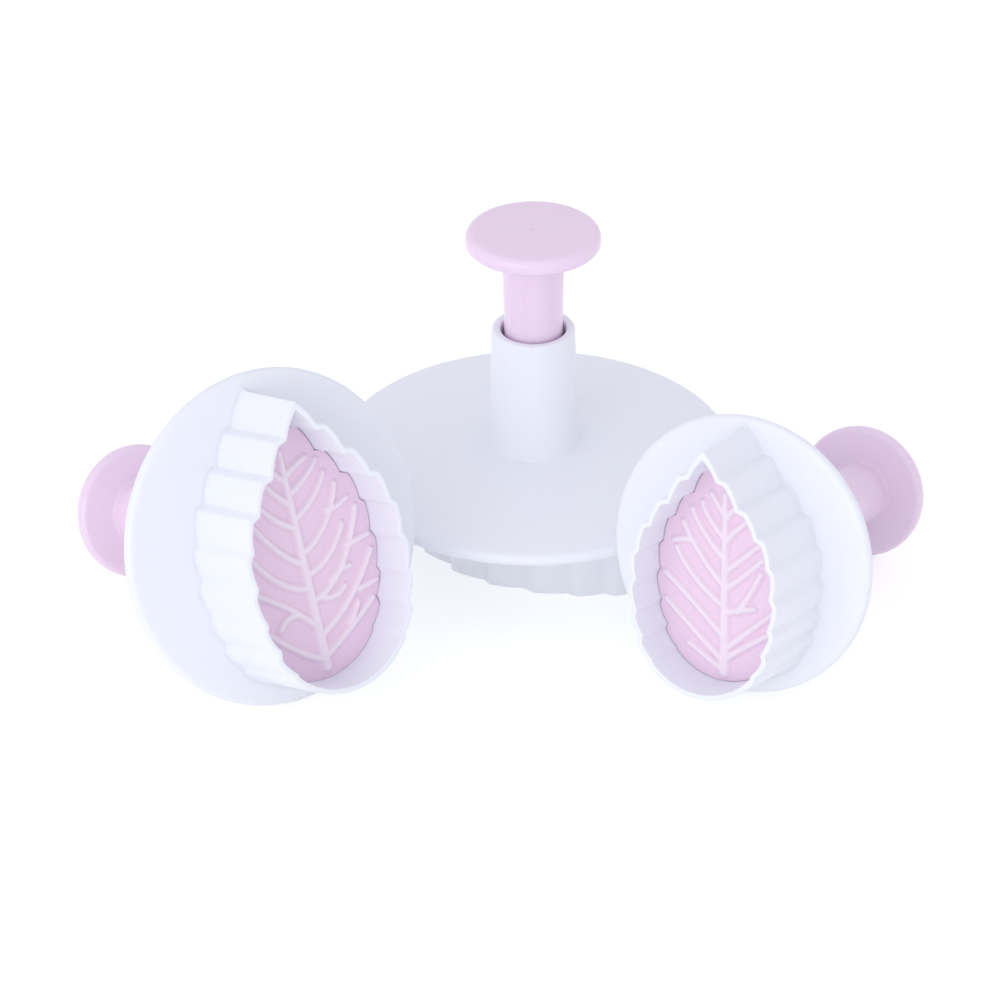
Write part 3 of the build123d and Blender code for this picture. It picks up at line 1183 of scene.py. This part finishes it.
@dataclass
class Studio:
    """The pale table, the soft lights and the camera. Its lengths are in metres."""

    focal_length: float = 135.67
    camera_place: tuple[float, float, float] = (-0.00634, -0.59626, 0.38326)
    pitch: float = 32.273
    roll: float = -0.47
    film_width: float = 36
    sight_range: tuple[float, float] = (0.05, 20)
    lights: tuple[SoftLight, ...] = (
        SoftLight("window", (-0.95, -1.2, 0.62), 1.2, 4.1),
        SoftLight("front", (-0.35, -1.3, 0.3), 1.0, 2.4),
    )
    lit_place: tuple[float, float, float] = (0, -0.02, 0.03)
    table_size: float = 4.0
    table_tones: tuple[float, float] = (0.74, 0.77)
    table_roughness: float = 0.9
    table_shine: float = 0.1
    table_mottle_scale: float = 40
    world_strength: float = 0.79
    world_color: tuple[float, float, float] = (1.0, 1.01, 1.07)
    table_glow: float = 0.1
    table_seen_glow: float = 0.45

    def floor(self) -> bpy.types.Object:
        """Makes the table that the set stands on, far wider than the view.

        Returns:
            The table.
        """
        mesh = bmesh.new()
        bmesh.ops.create_grid(mesh, x_segments=1, y_segments=1, size=self.table_size / 2)
        data = bpy.data.meshes.new("table")
        mesh.to_mesh(data)
        mesh.free()
        material = bpy.data.materials.new("pale_table")
        material.use_nodes = True
        nodes, links = material.node_tree.nodes, material.node_tree.links
        shader = nodes["Principled BSDF"]
        shader.inputs["Roughness"].default_value = self.table_roughness
        shader.inputs["Specular IOR Level"].default_value = self.table_shine
        shader.inputs["Emission Color"].default_value = (1, 1, 1, 1)
        path, lift = nodes.new("ShaderNodeLightPath"), nodes.new("ShaderNodeMath")
        lift.operation = "MULTIPLY_ADD"
        lift.inputs[1].default_value = self.table_glow - self.table_seen_glow
        lift.inputs[2].default_value = self.table_seen_glow
        links.new(path.outputs["Is Diffuse Ray"], lift.inputs[0])
        links.new(lift.outputs["Value"], shader.inputs["Emission Strength"])
        place, paper = nodes.new("ShaderNodeTexCoord"), nodes.new("ShaderNodeTexNoise")
        paper.inputs["Scale"].default_value = self.table_mottle_scale
        ramp = nodes.new("ShaderNodeMix")
        ramp.data_type = "RGBA"
        for side, tone in zip("AB", self.table_tones):
            ramp.inputs[side].default_value = (tone, tone, tone, 1)
        links.new(place.outputs["Object"], paper.inputs["Vector"])
        links.new(paper.outputs["Fac"], ramp.inputs["Factor"])
        links.new(ramp.outputs["Result"], shader.inputs["Base Color"])
        data.materials.append(material)
        table = bpy.data.objects.new("table", data)
        bpy.context.scene.collection.objects.link(table)
        return table

    def camera(self) -> bpy.types.Object:
        """Sets up the camera, which looks down at the set with a small roll.

        Returns:
            The scene's camera.
        """
        down, roll = radians(self.pitch), radians(self.roll)
        ahead = Vector((0, cos(down), -sin(down)))
        right = Vector((1, 0, 0))
        up = right.cross(ahead)
        across = right * cos(roll) + up * sin(roll)
        above = up * cos(roll) - right * sin(roll)
        data = bpy.data.cameras.new("camera")
        data.sensor_width, data.lens = self.film_width, self.focal_length
        data.clip_start, data.clip_end = self.sight_range
        camera = bpy.data.objects.new("camera", data)
        turn = Matrix((across, above, -ahead)).transposed().to_4x4()
        camera.matrix_world = Matrix.Translation(self.camera_place) @ turn
        bpy.context.scene.collection.objects.link(camera)
        bpy.context.scene.camera = camera
        return camera

    def build(self) -> None:
        """Makes the table, the lights, the pale surroundings and the camera."""
        self.floor()
        for light in self.lights:
            light.build(self.lit_place)
        world = bpy.data.worlds.new("studio")
        bpy.context.scene.world = world
        world.use_nodes = True
        sky = world.node_tree.nodes["Background"]
        sky.inputs["Color"].default_value = (*self.world_color, 1)
        sky.inputs["Strength"].default_value = self.world_strength
        view = bpy.context.scene.view_settings
        view.view_transform, view.look = "Standard", "None"
        self.camera()


def main() -> None:
    """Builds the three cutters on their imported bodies, then the studio."""
    logging.basicConfig(level=logging.INFO, format="%(message)s")
    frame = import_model()
    surface = mottle_group()
    white = MouldedPlastic(
        "white_moulding",
        light=(0.905, 0.92, 0.985),
        deep=(0.89, 0.905, 0.975),
        glow=0.1,
    ).build(surface)
    pink = MouldedPlastic(
        "pink_moulding",
        light=(0.895, 0.725, 0.885),
        deep=(0.88, 0.70, 0.865),
        smooth=0.16,
        rough=0.26,
        glow=0.2,
    ).build(surface)
    # The pad's pink, with a paler colour painted on the vein crests as their highlight.
    highlit_pad_pink = VeinHighlightPlastic(
        "pink_pad_moulding",
        light=(0.91, 0.70, 0.86),
        deep=(0.895, 0.68, 0.84),
        crest_highlight=(0.925, 0.80, 0.90),
        glow=0.2,
    ).build(surface)
    steel = DrawnSteel("drawn_wire").build(surface)
    cutters = [
        Cutter(
            "large",
            flange_diameter=74.0,
            leaf_length=63.8,
            leaf_width=40.4,
            leaf_offset=(0, 0.4),
            barrel_length=23.8,
            heading=164.6,
        ),
        LyingCutter(
            "medium",
            flange_diameter=59.3,
            leaf_length=52.2,
            leaf_width=32.6,
            leaf_offset=(0, 0.2),
            barrel_length=25.1,
            pad_shift=(-0.05, -0.07),
            place=(-45.9, -44.9),
            heading=308.4,
            leaf_turn=-1.5,
        ),
        LyingCutter(
            "small",
            flange_diameter=49.9,
            leaf_length=44.2,
            leaf_width=28.6,
            leaf_offset=(0.3, 0.8),
            barrel_length=26.8,
            pad_shift=(0.0, 0.05),
            veins=small_veins(),
            place=(35.8, -45.9),
            heading=238.0,
            leaf_turn=8.9,
        ),
    ]
    for cutter in cutters:
        cutter.dress(white, pink, highlit_pad_pink)
        cutter.wind_spring(frame["nodes"][cutter.name + "_return_spring"], steel)
        log.info("%s cutter dressed", cutter.name)
    Studio().build()


if __name__ == "__main__":
    main()
